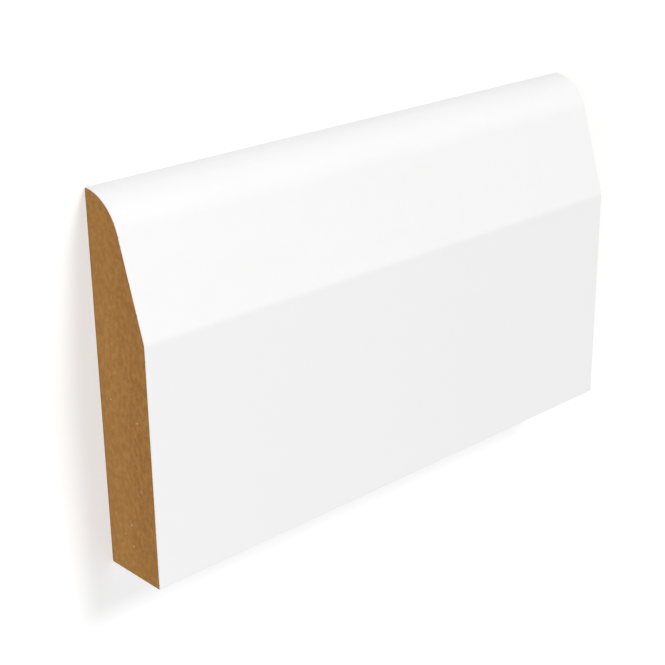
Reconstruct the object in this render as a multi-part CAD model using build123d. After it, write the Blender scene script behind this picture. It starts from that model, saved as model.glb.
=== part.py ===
from build123d import *
import math
import os

# Driving dimensions, in millimetres
length = 155.0  # of the offcut, from one sawn end to the other
width = 90.0  # from the square edge to the crown of the round
thickness = 18.0  # of the board that the section is machined from
flat_width = 59.0  # of the plain face, from the square edge to the chamfer
round_radius = 11.5  # of the nosing that the chamfer runs into
chamfer_ease = 4.0  # radius that softens the arris between face and chamfer
edge_ease = 0.5  # radius that takes the sharpness off the square arrises

# The moulding lies on its back, centred on the origin: X runs along its length,
# Y from the square edge to the crown, and Z from the back up to the face.


def moulding_section():
    """The cross-section: x runs across the width and y through the thickness."""
    heel = Vector(-width / 2, 0)
    shoulder = Vector(-width / 2, thickness)
    arris = Vector(-width / 2 + flat_width, thickness)
    crown = Vector(width / 2, 0)

    # The nosing is centred on the back, so its round meets the back at a right angle.
    nosing_centre = crown - Vector(round_radius, 0)

    # The chamfer leaves the arris along the tangent to the nosing.
    to_centre = nosing_centre - arris
    swing = math.degrees(math.asin(round_radius / to_centre.length))
    chamfer_width = math.sqrt(to_centre.length**2 - round_radius**2)
    chamfer = to_centre.normalized().rotate(Axis.Z, swing) * chamfer_width
    blend = arris + chamfer

    straight_sides = Polyline(crown, heel, shoulder, arris, blend)
    nosing = TangentArc(blend, crown, tangent=chamfer)
    section = make_face(straight_sides + nosing)

    def corner_at(point):
        return section.vertices().sort_by_distance(point)[0]

    section = fillet(corner_at(arris), chamfer_ease)
    section = fillet([corner_at(point) for point in (heel, shoulder, crown)], edge_ease)
    return section


# One length of stock, square across at both sawn ends
moulding = extrude(Plane.YZ * moulding_section(), length / 2, both=True)
moulding.label = "moulding"

os.makedirs("parts", exist_ok=True)
export_step(moulding, "parts/moulding.step")
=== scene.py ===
# %% [markdown]
# # A chamfer and round moulding
#
# The object is a short length of MDF trim, of the kind that finishes the foot of a wall or
# the frame of a door. A moulding machine runs one board past its cutters and leaves a flat
# face, a shallow chamfer and a rounded nosing. The long faces are then primed white, and the
# ends, sawn to length afterwards, show the bare brown board.
#
# A construction model already holds the size and the place. It could be painted as it is,
# but a piece that is drawn again from the same rule can also carry a film of primer and a
# sawn edge. So this lesson loads that model and measures the box that the piece has to fill.

# %% Load the construction model
import math

import bpy
from mathutils import Matrix, Vector


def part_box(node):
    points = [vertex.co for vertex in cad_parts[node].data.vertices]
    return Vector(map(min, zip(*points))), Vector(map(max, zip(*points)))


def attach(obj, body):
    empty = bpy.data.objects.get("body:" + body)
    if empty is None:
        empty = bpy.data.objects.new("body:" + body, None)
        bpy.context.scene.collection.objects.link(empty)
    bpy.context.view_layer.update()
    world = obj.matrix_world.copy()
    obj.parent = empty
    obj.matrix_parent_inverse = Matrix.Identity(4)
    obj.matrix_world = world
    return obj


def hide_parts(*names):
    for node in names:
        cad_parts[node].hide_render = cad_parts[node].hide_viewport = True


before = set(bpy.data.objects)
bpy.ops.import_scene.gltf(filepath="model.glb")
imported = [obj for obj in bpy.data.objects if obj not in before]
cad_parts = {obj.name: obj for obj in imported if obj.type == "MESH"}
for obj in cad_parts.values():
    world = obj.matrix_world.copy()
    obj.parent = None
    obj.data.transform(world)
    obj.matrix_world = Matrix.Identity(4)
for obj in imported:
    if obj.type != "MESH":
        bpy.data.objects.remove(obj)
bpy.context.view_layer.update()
low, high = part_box("moulding")
print("Construction box in metres:", [round(side, 5) for side in high - low])

# %% [markdown]
# ## The sizes of the section
#
# The box gives the length, the width and the thickness. The flat, the nosing and the eased
# arrises lie inside it, so they are written here in millimetres, as on a maker's drawing.
# The origin is the middle of the nominal width, which makes the width twice the distance
# to the square edge. The primer is the one size that the construction model leaves out.

# %% Sizes in metres
MM = 0.001

length = high.x - low.x
width = -2 * low.y
thickness = high.z - low.z
flat_width = 59.0 * MM
round_radius = 11.5 * MM
chamfer_ease = 4.0 * MM
edge_ease = 0.5 * MM
primer_film = 0.12 * MM
print("Section in mm:", round(width / MM, 2), "wide and", round(thickness / MM, 2), "thick")

# %% [markdown]
# ## Node trees that read as formulas
#
# Both the shape and the finishes are node trees. They could be drawn by hand in the editor,
# but a script is easier to check if a sum of sockets looks like a sum. So a socket is wrapped
# in a small class whose plus, minus, times and divide add the matching Math nodes.

# %% Helpers for nodes
NODES_IN_ROW = 12
NODE_STEP = 200


class Wire:
    """The output of a node. Arithmetic on wires adds Math nodes to the same tree."""

    def __init__(self, socket):
        self.socket = socket

    def math(self, operation, *others):
        inputs = dict(enumerate((self, *others)))
        return output(add_node(self.socket.id_data, "ShaderNodeMath", inputs, operation=operation))

    def __add__(self, other):
        return self.math("ADD", other)

    def __sub__(self, other):
        return self.math("SUBTRACT", other)

    def __mul__(self, other):
        return self.math("MULTIPLY", other)

    def __truediv__(self, other):
        return self.math("DIVIDE", other)

    def __neg__(self):
        return self * -1.0

    def __rsub__(self, other):
        return -self + other

    __radd__ = __add__
    __rmul__ = __mul__


def add_node(tree, kind, inputs=None, **settings):
    """Adds a node, applies its settings, feeds its inputs and returns it."""
    node = tree.nodes.new(kind)
    row, column = divmod(len(tree.nodes), NODES_IN_ROW)
    node.location = (NODE_STEP * column, -NODE_STEP * row)
    for name, value in settings.items():
        setattr(node, name, value)
    for name, value in (inputs or {}).items():
        feed(node.inputs[name], value)
    return node


def feed(socket, value):
    """Links a wire into a socket, or sets a plain value on it."""
    if isinstance(value, Wire):
        socket.id_data.links.new(value.socket, socket)
    else:
        socket.default_value = value


def output(node, name=0):
    """A wire from one of a node's outputs, the first unless another is named."""
    return Wire(node.outputs[name])


def new_group(name, kind, inputs, outputs):
    """Starts a node group: returns it, a wire for each named input, and its output node."""
    group = bpy.data.node_groups.new(name, kind)
    for side, sockets in (("INPUT", inputs), ("OUTPUT", outputs)):
        for socket_name, socket_kind in sockets.items():
            socket_type = "NodeSocket" + socket_kind
            group.interface.new_socket(socket_name, in_out=side, socket_type=socket_type)
    entry = add_node(group, "NodeGroupInput")
    wires = {socket_name: output(entry, socket_name) for socket_name in inputs}
    return group, wires, add_node(group, "NodeGroupOutput")


print("Node helpers are ready")

# %% [markdown]
# ## The section as a rule
#
# The section is a closed line: five bends joined by straight runs. It could be traced as a
# list of points, but then a change of one size would mean tracing it again. A bend is an arc,
# and an arc needs only a centre, a radius, the direction that it starts in and the angle that
# it turns by. Geometry Nodes work these out from the sizes, so the tree has those as inputs.

# %% Inputs of the moulding tree
sizes = {
    "Length": length,
    "Width": width,
    "Thickness": thickness,
    "Flat Width": flat_width,
    "Round Radius": round_radius,
    "Chamfer Ease": chamfer_ease,
    "Edge Ease": edge_ease,
    "Primer Film": primer_film,
}
finish_names = ("Primer", "Bare Board")
moulding_tree, size, moulding_end = new_group(
    "swept_moulding",
    "GeometryNodeTree",
    {**dict.fromkeys(sizes, "Float"), **dict.fromkeys(finish_names, "Material")},
    {"Moulding": "Geometry"},
)
print("The tree takes", ", ".join(size))

# %% [markdown]
# The chamfer has no angle of its own. It leaves the arris, where the flat face ends, along the
# line that just touches the nosing, and the nosing is centred on the back of the board. That
# gives a right-angled triangle between the arris, the nosing's centre and the touching point.
# The finish of the sawn end needs the same slope as a plain number, so it is worked out twice.

# %% Slope of the chamfer
half_width = size["Width"] * 0.5
arris_across = size["Flat Width"] - half_width
nosing_across = half_width - size["Round Radius"]
run_across = nosing_across - arris_across
run = (run_across * run_across + size["Thickness"] * size["Thickness"]).math("SQRT")
fall_to_centre = size["Thickness"].math("ARCTAN2", run_across)
slope = fall_to_centre - (size["Round Radius"] / run).math("ARCSINE")

run_here = width - round_radius - flat_width
fall_here = math.atan2(thickness, run_here)
slope_here = fall_here - math.asin(round_radius / math.hypot(thickness, run_here))
print("The chamfer falls by", round(math.degrees(slope_here), 2), "degrees")

# %% [markdown]
# The bends follow each other round the section: up the square edge, along the face, down the
# chamfer and over the nosing to the back. The last one eases the crown, where the nosing meets
# the back, and its circle touches both, which gives its centre by Pythagoras.

# %% The five bends
QUARTER = math.pi / 2
ease = size["Edge Ease"]
nosing = size["Round Radius"]
soft = size["Chamfer Ease"]
arris_tangent = soft * (slope * 0.5).math("TANGENT")
crown_reach = (nosing * nosing - 2 * nosing * ease).math("SQRT")
crown_start = ease.math("ARCTAN2", crown_reach)

# Each bend: centre across, centre up, radius, the direction it starts in, the angle it turns by
bends = {
    "heel": (ease - half_width, ease, ease, -QUARTER, -QUARTER),
    "shoulder": (ease - half_width, size["Thickness"] - ease, ease, 2 * QUARTER, -QUARTER),
    "arris": (arris_across - arris_tangent, size["Thickness"] - soft, soft, QUARTER, -slope),
    "nosing": (nosing_across, 0.0, nosing, QUARTER - slope, slope + crown_start - QUARTER),
    "crown": (nosing_across + crown_reach, ease, ease, crown_start, -QUARTER - crown_start),
}
print("Bends:", ", ".join(bends))

# %% [markdown]
# Every point of the section knows its own index. Dividing the index by the number of points
# in a bend tells which bend the point is on, and the remainder tells how far round it is. An
# Index Switch then picks that bend's values, and a sine and a cosine place the point.

# %% Points round the section
POINTS_PER_BEND = 40

index = output(add_node(moulding_tree, "GeometryNodeInputIndex"))
bend_number = (index / POINTS_PER_BEND).math("FLOOR")
share = (index - bend_number * POINTS_PER_BEND) / (POINTS_PER_BEND - 1)


def by_bend(column):
    """Picks one of the five values for the bend that a point is on."""
    switch = add_node(moulding_tree, "GeometryNodeIndexSwitch", data_type="FLOAT")
    while len(switch.index_switch_items) < len(bends):
        switch.index_switch_items.new()
    feed(switch.inputs["Index"], bend_number)
    for number, bend in enumerate(bends.values()):
        feed(switch.inputs[str(number)], bend[column])
    return output(switch)


def combine(tree, x, y, z):
    """A vector from its three parts."""
    return output(add_node(tree, "ShaderNodeCombineXYZ", {"X": x, "Y": y, "Z": z}))


def polyline(count, position):
    """A curve through that many points, each placed by its index."""
    points = add_node(moulding_tree, "GeometryNodePoints", {"Count": count, "Position": position})
    return output(add_node(moulding_tree, "GeometryNodePointsToCurves", {"Points": output(points)}))


centre_across, centre_up, radius, starts_at, turns_by = (by_bend(column) for column in range(5))
direction = starts_at + turns_by * share
across = direction.math("COSINE")
up = direction.math("SINE")
# A path along X turns its section half round, so the section is drawn half round as well
place = combine(moulding_tree, -(centre_across + radius * across), -(centre_up + radius * up), 0.0)
section = polyline(len(bends) * POINTS_PER_BEND, place)
closed = add_node(
    moulding_tree, "GeometryNodeSetSplineCyclic", {"Geometry": section, "Cyclic": True}
)
print("The section has", len(bends) * POINTS_PER_BEND, "points")

# %% [markdown]
# ## Sweeping the section along the length
#
# A moulding is its section pulled along a straight line, so Curve to Mesh does what the
# machine does. The path has four stations: the two ends, and one just inside each of them.
# At the ends the outline is drawn in by the thickness of the primer. This leaves the narrow
# slope of cut film that shows as a white line round the brown of a sawn end. The way out from
# the board is stored on the section first, because after the sweep it would be hard to find.
#
# Two things are put right after the sweep. The nosing ends where the crown's ease starts, so
# that point is there twice and is merged. And the section runs clockwise, which leaves every
# face looking inwards. A picture hardly shows it, but an exported mesh would be inside out, so
# the faces are flipped.

# %% The swept body
OUTWARD = "outward"
STATIONS = 4
SAME_POINT = 0.001 * MM

outward = add_node(
    moulding_tree,
    "GeometryNodeStoreNamedAttribute",
    {"Geometry": output(closed), "Name": OUTWARD},
    data_type="FLOAT_VECTOR",
)
feed(outward.inputs["Value"], combine(moulding_tree, 0.0, across, up))

half_length = size["Length"] * 0.5
station = index - (STATIONS - 1) / 2
inside = station.math("ABSOLUTE").math("LESS_THAN", 1.0)
along = station.math("SIGN") * (half_length - size["Primer Film"] * inside)
path = polyline(STATIONS, combine(moulding_tree, along, 0.0, 0.0))
swept = add_node(
    moulding_tree,
    "GeometryNodeCurveToMesh",
    {"Curve": path, "Profile Curve": output(outward), "Fill Caps": True},
)
merged = add_node(
    moulding_tree,
    "GeometryNodeMergeByDistance",
    {"Geometry": output(swept), "Distance": SAME_POINT},
)
turned_out = add_node(moulding_tree, "GeometryNodeFlipFaces", {"Mesh": output(merged)})
print("The path has", STATIONS, "stations")

# %% The cut edge of the film
stored = add_node(
    moulding_tree, "GeometryNodeInputNamedAttribute", {"Name": OUTWARD}, data_type="FLOAT_VECTOR"
)
position = add_node(moulding_tree, "GeometryNodeInputPosition")
x_now = output(add_node(moulding_tree, "ShaderNodeSeparateXYZ", {"Vector": output(position)}), "X")
at_end = x_now.math("ABSOLUTE").math("GREATER_THAN", half_length - size["Primer Film"] * 0.5)
inward = add_node(
    moulding_tree,
    "ShaderNodeVectorMath",
    {"Vector": output(stored), "Scale": -size["Primer Film"]},
    operation="SCALE",
)
cut = add_node(
    moulding_tree,
    "GeometryNodeSetPosition",
    {"Geometry": output(turned_out), "Selection": at_end, "Offset": output(inward)},
)
print("The film is cut back by", round(primer_film / MM, 2), "mm at each end")

# %% [markdown]
# ## Smooth bends, flat faces, two finishes
#
# Smooth shading blends the direction of neighbouring faces. That is right round a bend, but
# on a broad face it would leave a false gradient from edge to edge. Broad faces are easy to
# tell by their area, so they stay flat, and so do the sharp edges at the sawn ends. The faces
# that look along the length are the sawn ends, and they get the bare board.

# %% Shading and finishes
BROAD = 2.0 * MM
SHARP = math.radians(30.0)
FACES_THE_END = 0.9

area = output(add_node(moulding_tree, "GeometryNodeInputMeshFaceArea"))
narrow = area.math("LESS_THAN", size["Length"] * BROAD)
bends_smooth = add_node(
    moulding_tree,
    "GeometryNodeSetShadeSmooth",
    {"Geometry": output(cut), "Shade Smooth": narrow},
    domain="FACE",
)
edge_angle = output(add_node(moulding_tree, "GeometryNodeInputMeshEdgeAngle"), "Unsigned Angle")
edges_sharp = add_node(
    moulding_tree,
    "GeometryNodeSetShadeSmooth",
    {"Geometry": output(bends_smooth), "Shade Smooth": edge_angle.math("LESS_THAN", SHARP)},
    domain="EDGE",
)
normal = add_node(moulding_tree, "GeometryNodeInputNormal")
normal_x = output(add_node(moulding_tree, "ShaderNodeSeparateXYZ", {"Vector": output(normal)}), "X")
sawn = normal_x.math("ABSOLUTE").math("GREATER_THAN", FACES_THE_END)
real = add_node(moulding_tree, "GeometryNodeRealizeInstances", {"Geometry": output(edges_sharp)})
primed = add_node(
    moulding_tree,
    "GeometryNodeSetMaterial",
    {"Geometry": output(real), "Material": size["Primer"]},
)
finished = add_node(
    moulding_tree,
    "GeometryNodeSetMaterial",
    {"Geometry": output(primed), "Selection": sawn, "Material": size["Bare Board"]},
)
feed(moulding_end.inputs["Moulding"], output(finished))
print("The tree has", len(moulding_tree.nodes), "nodes")

# %% [markdown]
# ## Fibre, for both finishes
#
# MDF is wood ground to fibre and pressed in layers, so the fibres lie flat in the board. A
# sawn end shows them as short streaks, and a trace of them prints through the primer. An image
# would do, but it would need a photograph of the board. Two layers of noise, drawn out in the
# plane of the board, give the same mottle at any size. Both finishes use it, so it is a group.

# %% The fibre group
fibre_group, given, fibre_end = new_group(
    "board_fibre",
    "ShaderNodeTree",
    {"Position": "Vector", "Fibre Length": "Float", "Fibre Width": "Float"},
    {"Mottle": "Float"},
)


def split(tree, vector):
    """The three parts of a vector, as wires."""
    node = add_node(tree, "ShaderNodeSeparateXYZ", {"Vector": vector})
    return output(node, "X"), output(node, "Y"), output(node, "Z")


def noise(tree, vector, **inputs):
    """A noise texture's grey value."""
    node = add_node(tree, "ShaderNodeTexNoise", {"Vector": vector})
    for name, value in inputs.items():
        feed(node.inputs[name], value)
    return output(node, "Fac")


def ramp(tree, value, start, end, low=0.0, high=1.0):
    """Runs smoothly from low to high while the value goes from start to end."""
    inputs = {"Value": value, "From Min": start, "From Max": end, "To Min": low, "To Max": high}
    return output(add_node(tree, "ShaderNodeMapRange", inputs, interpolation_type="SMOOTHSTEP"))


x, y, z = split(fibre_group, given["Position"])
streaked = combine(
    fibre_group, x / given["Fibre Length"], y / given["Fibre Length"], z / given["Fibre Width"]
)
bundles = noise(fibre_group, streaked, Scale=0.28, Detail=2.0, Roughness=0.5)
single_fibres = noise(fibre_group, streaked, Scale=1.0, Detail=7.0, Roughness=0.78)
mottle = ramp(fibre_group, 0.40 * bundles + 0.60 * single_fibres, start=0.38, end=0.62)
feed(fibre_end.inputs["Mottle"], mottle)
print("The fibre group has", len(fibre_group.nodes), "nodes")

# %% [markdown]
# Specks are the other thing that the two finishes share: pale flecks of bark and resin in the
# board, and nibs of dust under the primer. They could be scattered as tiny meshes, but they are
# only about half a millimetre wide. Voronoi cells give one random spot each, and a share of the
# cells is let through. A cell's colour comes from the same numbers as its spot's place, so it
# can't make the draw by itself: white noise, fed with that colour, makes a fair one.

# %% The speck group
speck_group, given, speck_end = new_group(
    "fine_specks",
    "ShaderNodeTree",
    {"Position": "Vector", "Spacing": "Float", "Speck Size": "Float", "Share": "Float"},
    {"Speck": "Float"},
)
cells = add_node(speck_group, "ShaderNodeTexVoronoi", {"Vector": given["Position"]})
feed(cells.inputs["Scale"], given["Spacing"].math("POWER", -1.0))
distance = output(cells, "Distance") * given["Spacing"]
drawn = add_node(speck_group, "ShaderNodeTexWhiteNoise", {"Vector": output(cells, "Color")})
chance = output(drawn, "Value")
speck_core = given["Speck Size"] * 0.3
round_spot = ramp(speck_group, distance, start=given["Speck Size"], end=speck_core)
feed(speck_end.inputs["Speck"], round_spot * chance.math("LESS_THAN", given["Share"]))
print("The speck group has", len(speck_group.nodes), "nodes")

# %% [markdown]
# ## The white primer
#
# Factory primer is a thin, low-sheen white. It isn't perfectly even: it dries to a faint orange
# peel, it soaks in a little more where the cutters have opened the board, and the saw nibbles
# it at the ends. A single white would render like paper, so the colour, the roughness and the
# relief each vary a little, at their real scale. All of it reads Object coordinates, in metres.

# %% Helpers for finishes
def new_finish(name):
    """A material with its tree, its shader and a wire that carries the place on the object."""
    material = bpy.data.materials.new(name)
    material.use_nodes = True
    tree = material.node_tree
    place_on_object = output(add_node(tree, "ShaderNodeTexCoord"), "Object")
    return material, tree, tree.nodes["Principled BSDF"], place_on_object


def use_group(tree, group, **inputs):
    """Places a shader group with its own values. An underscore in a name stands for a space."""
    node = add_node(tree, "ShaderNodeGroup", node_tree=group)
    for name, value in inputs.items():
        feed(node.inputs[name.replace("_", " ")], value)
    return output(node)


def blend(tree, factor, first, second):
    """Mixes two colours, each plain or on a wire."""
    # A Mix node has sockets for several kinds of data. Input 0 is the factor, inputs 6 and 7
    # are the colours, and output 2 is their mixture.
    sockets = {0: factor, 6: first, 7: second}
    return output(add_node(tree, "ShaderNodeMix", sockets, data_type="RGBA"), 2)


def relief(tree, shader, height_in_mm):
    """Bumps the surface by a height in millimetres."""
    inputs = {"Strength": 1.0, "Distance": MM, "Height": height_in_mm}
    feed(shader.inputs["Normal"], output(add_node(tree, "ShaderNodeBump", inputs)))


print("Finish helpers are ready")

# %% Primer
PRIMER_WHITE = (0.875, 0.875, 0.875, 1.0)
PRIMER_SOAKED = (0.846, 0.845, 0.842, 1.0)
CHIPPED_BOARD = (0.45, 0.27, 0.12, 1.0)
DEEPEST_CHIP = 0.10 * MM

primer, tree, shader, where = new_finish("white_primer")
x, y, z = split(tree, where)

fibre_print = use_group(
    tree, fibre_group, Position=where, Fibre_Length=2.4 * MM, Fibre_Width=0.8 * MM
)
nibs = use_group(
    tree, speck_group, Position=where, Spacing=2.0 * MM, Speck_Size=0.16 * MM, Share=0.05
)
clouds = noise(tree, where, Scale=1 / (28 * MM), Detail=2.0, Roughness=0.5)
peel = noise(tree, where, Scale=1 / (1.1 * MM), Detail=1.0, Roughness=0.4)
cutter_lines = noise(
    tree, combine(tree, x * 0.02, y, z), Scale=1 / (0.7 * MM), Detail=2.0, Roughness=0.6
)

arris_y = flat_width - width / 2
machined = ramp(tree, y, start=arris_y, end=arris_y + 1.0 * MM)
soaked = 0.30 * clouds + (0.10 + 0.16 * machined) * fibre_print
coat = blend(tree, soaked, PRIMER_WHITE, PRIMER_SOAKED)

from_cut = length / 2 - x.math("ABSOLUTE")
nibbled = noise(tree, where, Scale=1 / (0.9 * MM), Detail=2.0, Roughness=0.6)
chip_depth = ramp(tree, nibbled, start=0.58, end=0.82, high=DEEPEST_CHIP)
chipped = from_cut.math("LESS_THAN", chip_depth)
feed(shader.inputs["Base Color"], blend(tree, chipped, coat, CHIPPED_BOARD))
feed(shader.inputs["Roughness"], 0.70 + 0.08 * fibre_print + 0.10 * chipped)
relief(
    tree,
    shader,
    0.006 * peel
    + (0.002 + 0.004 * machined) * fibre_print
    + 0.003 * machined * cutter_lines
    + 0.012 * nibs
    - 0.05 * chipped,
)
print("White primer has", len(tree.nodes), "nodes")

# %% [markdown]
# ## The sawn board
#
# The press packs MDF hardest at its two faces, so a sawn end is a little darker just under the flat
# face and along the back. The saw leaves faint strokes across the thickness. The end is also
# painted darker towards the front than towards the back, following the slope of the chamfer: that
# is painted shade, which stands in for how the light falls across the end. To paint it so, the
# material has to know how far a point lies behind the front, and that is the same rule as the
# section's: the nearer of the face and the chamfer, or the nosing once the point is past the
# chamfer.

# %% Depth behind the front
bare_board, tree, shader, where = new_finish("sawn_board")
x, y, z = split(tree, where)

past_arris = y - arris_y
below_face = thickness - z
chamfer_depth = below_face * math.cos(slope_here) - past_arris * math.sin(slope_here)
from_nosing_centre = y - (width / 2 - round_radius)
past_chamfer = from_nosing_centre * math.cos(slope_here) - z * math.sin(slope_here)
reach_out = (from_nosing_centre * from_nosing_centre + z * z).math("SQRT")
nosing_depth = round_radius - reach_out
on_nosing = past_chamfer.math("GREATER_THAN", 0.0)
shaped_depth = chamfer_depth + on_nosing * (nosing_depth - chamfer_depth)
front_depth = shaped_depth.math("MINIMUM", below_face)
print("Depth is measured from the face, the chamfer and the nosing")

# %% Bare board
BOARD_PALE = (0.546, 0.277, 0.078, 1.0)
BOARD_DARK = (0.272, 0.116, 0.022, 1.0)
BOARD_PACKED = (0.300, 0.132, 0.031, 1.0)
BOARD_FLECK = (0.620, 0.620, 0.500, 1.0)
PACKED_SKIN = 0.7 * MM

fibres = use_group(
    tree, fibre_group, Position=where, Fibre_Length=0.48 * MM, Fibre_Width=0.34 * MM
)
flecks = use_group(
    tree, speck_group, Position=where, Spacing=1.6 * MM, Speck_Size=0.27 * MM, Share=0.07
)
sawing = combine(tree, x, y * 0.12, z + y * 0.10)
strokes = noise(tree, sawing, Scale=1 / (0.6 * MM), Detail=2.0, Roughness=0.6)
# Painted shade: the end is coloured darker towards the front and paler towards the back, for how
# the light falls rather than for the board
painted_front_shade = ramp(tree, z - front_depth, start=-thickness, end=0.7 * thickness)
grain_and_painted_shade = 0.40 * fibres + 0.37 * painted_front_shade + 0.07 * strokes
grain_and_shade_colour = blend(tree, grain_and_painted_shade, BOARD_PALE, BOARD_DARK)
packed = ramp(tree, below_face.math("MINIMUM", z), start=PACKED_SKIN, end=0.0)
layered = blend(tree, 0.3 * packed, grain_and_shade_colour, BOARD_PACKED)
feed(shader.inputs["Base Color"], blend(tree, flecks, layered, BOARD_FLECK))
feed(shader.inputs["Roughness"], 0.78 + 0.12 * fibres)
shader.inputs["Specular IOR Level"].default_value = 0.25
relief(tree, shader, 0.030 * fibres + 0.020 * strokes + 0.02 * flecks)
print("Sawn board has", len(tree.nodes), "nodes")

# %% [markdown]
# ## Making the piece
#
# The tree runs as a modifier on an empty mesh. Its inputs are set by their identifiers before
# the first evaluation, because a modifier doesn't know them by name. A modifier would be lost
# on export, so the evaluated shape becomes a plain mesh, which takes the construction model's
# place and rides on its only body.

# %% The moulding
values = {**sizes, "Primer": primer, "Bare Board": bare_board}
moulding = bpy.data.objects.new("primed_moulding", bpy.data.meshes.new("empty"))
bpy.context.scene.collection.objects.link(moulding)
sweep = moulding.modifiers.new("swept_moulding", "NODES")
sweep.node_group = moulding_tree
for socket in moulding_tree.interface.items_tree:
    if socket.in_out == "INPUT":
        sweep[socket.identifier] = values[socket.name]

graph = bpy.context.evaluated_depsgraph_get()
shape = bpy.data.meshes.new_from_object(moulding.evaluated_get(graph), depsgraph=graph)
shape.name = "primed_moulding"
moulding.modifiers.clear()
moulding.data = shape
print("The moulding has", len(shape.vertices), "points and", len(shape.polygons), "faces")

# %% Its place in the frame
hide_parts("moulding")
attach(moulding, "root")
print("It replaces the plain solid and rides on the body named root")

# %% [markdown]
# ## The studio
#
# A white moulding on white needs light that models it without burning it out. The world gives
# an even light from all round. A soft sun stands on the nosing's side, towards the far end: it
# makes the chamfer brighter than the face, and it lays the shadow beside the sawn end. A
# softbox in front of that end lifts the brown, and a low one keeps the shaded square edge
# white. A level of 1 lights a white surface that faces the lamp to white. A white floor would
# throw so much light back that the nosing lost its shaded side. So the floor is grey to the
# lamps, and glows for the camera alone until it is white there.

# %% Floor and world
FLOOR_GREY = (0.62, 0.62, 0.62, 1.0)
FLOOR_GLOW = 0.44
FLOOR_SIDE = 6.0
FLOOR_GAP = 0.02 * MM
WORLD_LEVEL = 0.53


def seen_directly(tree):
    """One for rays that the camera, a mirror or a glass sends, and nought for the rest."""
    path_node = add_node(tree, "ShaderNodeLightPath")
    camera_ray = output(path_node, "Is Camera Ray")
    glossy_ray = output(path_node, "Is Glossy Ray")
    transmission_ray = output(path_node, "Is Transmission Ray")
    return camera_ray.math("MAXIMUM", glossy_ray).math("MAXIMUM", transmission_ray)


floor_paint = bpy.data.materials.new("studio_floor")
floor_paint.use_nodes = True
tree = floor_paint.node_tree
shader = tree.nodes["Principled BSDF"]
shader.inputs["Base Color"].default_value = FLOOR_GREY
shader.inputs["Roughness"].default_value = 0.9
shader.inputs["Specular IOR Level"].default_value = 0.0
shader.inputs["Emission Color"].default_value = (1.0, 1.0, 1.0, 1.0)
feed(shader.inputs["Emission Strength"], FLOOR_GLOW * seen_directly(tree))

half = FLOOR_SIDE / 2
floor_mesh = bpy.data.meshes.new("studio_floor")
outline = ((-half, -half), (half, -half), (half, half), (-half, half))
corners = [(across_x, across_y, -FLOOR_GAP) for across_x, across_y in outline]
floor_mesh.from_pydata(corners, [], [(0, 1, 2, 3)])
floor_mesh.materials.append(floor_paint)
floor = bpy.data.objects.new("studio_floor", floor_mesh)
bpy.context.scene.collection.objects.link(floor)

world = bpy.data.worlds.new("studio_world")
world.use_nodes = True
bpy.context.scene.world = world
tree = world.node_tree
background = tree.nodes["Background"]
background.inputs["Color"].default_value = (1.0, 1.0, 1.0, 1.0)
feed(background.inputs["Strength"], WORLD_LEVEL + (1.0 - WORLD_LEVEL) * seen_directly(tree))
print("The floor is", FLOOR_SIDE, "m square")

# %% Lamps
def aim(thing, target):
    """Turns a lamp so that it shines at a point."""
    thing.rotation_euler = (Vector(target) - thing.location).to_track_quat("-Z", "Y").to_euler()


def soft_sun(name, towards, level, spread):
    """A sun in the direction given, as wide as the spread in degrees."""
    lamp = bpy.data.lights.new(name, "SUN")
    lamp.energy = level * math.pi
    lamp.angle = math.radians(spread)
    sun = bpy.data.objects.new(name, lamp)
    sun.location = Vector(towards).normalized()
    aim(sun, (0.0, 0.0, 0.0))
    bpy.context.scene.collection.objects.link(sun)


def softbox(name, place_at, target, level, side):
    """A square lamp that lights the target to the level given."""
    lamp = bpy.data.lights.new(name, "AREA")
    lamp.size = side
    distance_to_target = (Vector(place_at) - Vector(target)).length
    lamp.energy = level * (math.pi * distance_to_target) ** 2
    box = bpy.data.objects.new(name, lamp)
    box.location = place_at
    aim(box, target)
    bpy.context.scene.collection.objects.link(box)


near_end = (-length / 2, 0.0, thickness / 2)
square_edge = (0.0, -width / 2, thickness / 2)
soft_sun("nosing_sun", towards=(0.35, 0.60, 0.72), level=0.53, spread=20.0)
softbox("near_end_softbox", (-0.55, 0.05, 0.20), target=near_end, level=0.34, side=0.45)
softbox("square_edge_softbox", (0.20, -0.55, 0.04), target=square_edge, level=0.25, side=0.08)
print("Lamps:", ", ".join(lamp.name for lamp in bpy.data.lights))

# %% [markdown]
# ## The camera
#
# The photograph shows the moulding standing on its square edge, seen a little from above and
# from the side of the near end. It is stored lying on its back, as it would rest by itself, so
# the camera is set up as for the standing piece and is then laid back with it. That keeps the
# view of the moulding the same while the camera looks down on the floor.

# %% Camera
LENS = 81.9
SENSOR = 36.0
VIEW_AZIMUTH = math.radians(42.91)
VIEW_ELEVATION = math.radians(21.86)
VIEW_ROLL = math.radians(-0.78)
EYE_STANDING = Vector((-170.4, -241.1, 179.0)) * MM

camera_data = bpy.data.cameras.new("camera")
camera_data.lens = LENS
camera_data.sensor_width = SENSOR
camera = bpy.data.objects.new("camera", camera_data)
bpy.context.scene.collection.objects.link(camera)
bpy.context.scene.camera = camera

look = (
    Matrix.Rotation(-VIEW_AZIMUTH, 4, "Z")
    @ Matrix.Rotation(math.pi / 2 - VIEW_ELEVATION, 4, "X")
    @ Matrix.Rotation(VIEW_ROLL, 4, "Z")
)
standing = Matrix.Translation(EYE_STANDING) @ look
near_corner = Matrix.Translation((-length / 2, -width / 2, thickness))
lay_back = near_corner @ Matrix.Rotation(-math.pi / 2, 4, "X")
camera.matrix_world = lay_back @ standing
eye_in_mm = [round(part / MM) for part in camera.matrix_world.translation]
print("The camera looks down from", eye_in_mm, "mm")

# %% [markdown]
# ## Closing
#
# The picture should show the colours as they are written, so the view transform is the plain one.

# %% View transform
bpy.context.scene.view_settings.view_transform = "Standard"

bpy.context.view_layer.update()
